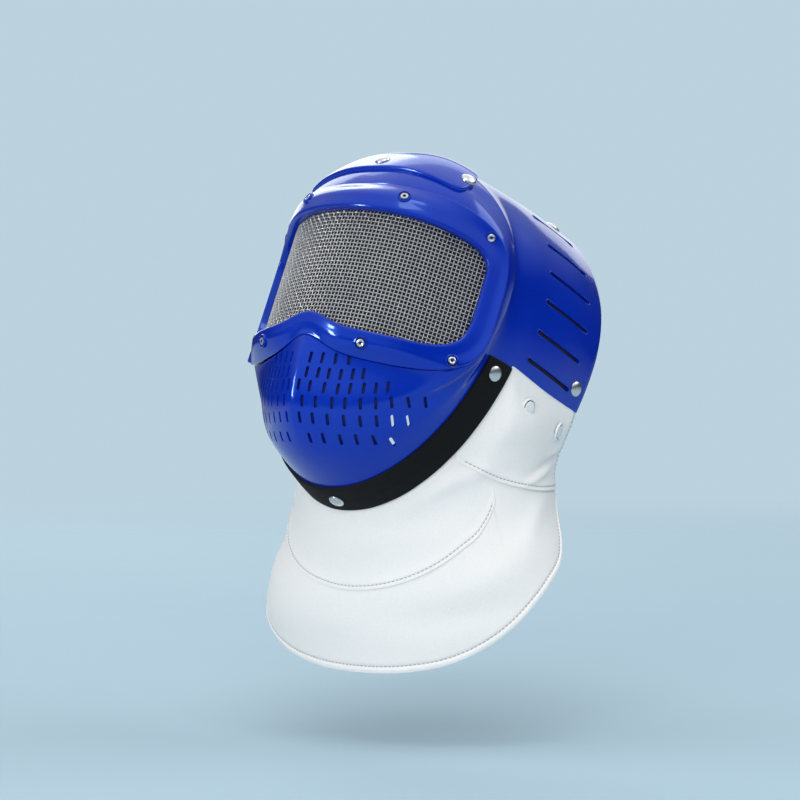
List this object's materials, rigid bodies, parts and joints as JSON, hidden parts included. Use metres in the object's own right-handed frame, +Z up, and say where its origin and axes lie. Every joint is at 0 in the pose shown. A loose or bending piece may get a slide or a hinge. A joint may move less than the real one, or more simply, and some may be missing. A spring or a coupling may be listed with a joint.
{
  "type": "fencing mask",
  "caption": "Fencing mask with a vented plastic shell, a wire mesh visor in a raised frame, a webbing jaw strap, and a soft bib that hangs below the chin.",
  "frame": {"origin": "head seat: the inside of the shell's roof, on the middle line, where the crown of a head meets it", "axes": "+Z up as the bib hangs, +X towards the wearer's left, -Y to the front; the shell is tipped back by 26.9 degrees"},
  "size_m": [0.2468, 0.2868, 0.3914],
  "materials": {
    "blue_plastic": "gloss",
    "steel_mesh": "satin",
    "steel": "satin",
    "black_webbing": "matte",
    "white_leather": "satin"
  },
  "bodies": {
    "root": {"helmet_shell": "blue_plastic", "visor_bezel": "blue_plastic", "visor_mesh": "steel_mesh", "crown_plate": "blue_plastic", "chin_strap": "black_webbing", "bib_yoke": "white_leather", "bib_skirt": "white_leather", "neck_panel_left": "white_leather", "neck_panel_right": "white_leather", "bezel_screw_1": "steel", "bezel_screw_2": "steel", "bezel_screw_3": "steel", "bezel_screw_4": "steel", "bezel_screw_5": "steel", "bezel_screw_6": "steel", "bezel_screw_7": "steel", "bezel_screw_8": "steel", "crown_rivet_1": "steel", "crown_rivet_2": "steel", "crown_rivet_3": "steel", "strap_rivet_1": "steel", "strap_rivet_2": "steel", "strap_rivet_3": "steel", "rear_rivet_1": "steel", "rear_rivet_2": "steel", "rear_rivet_3": "steel", "rear_rivet_4": "steel", "snap_cap_1": "white_leather", "snap_cap_2": "white_leather", "snap_cap_3": "white_leather", "snap_cap_4": "white_leather"}
  },
  "joints": []
}
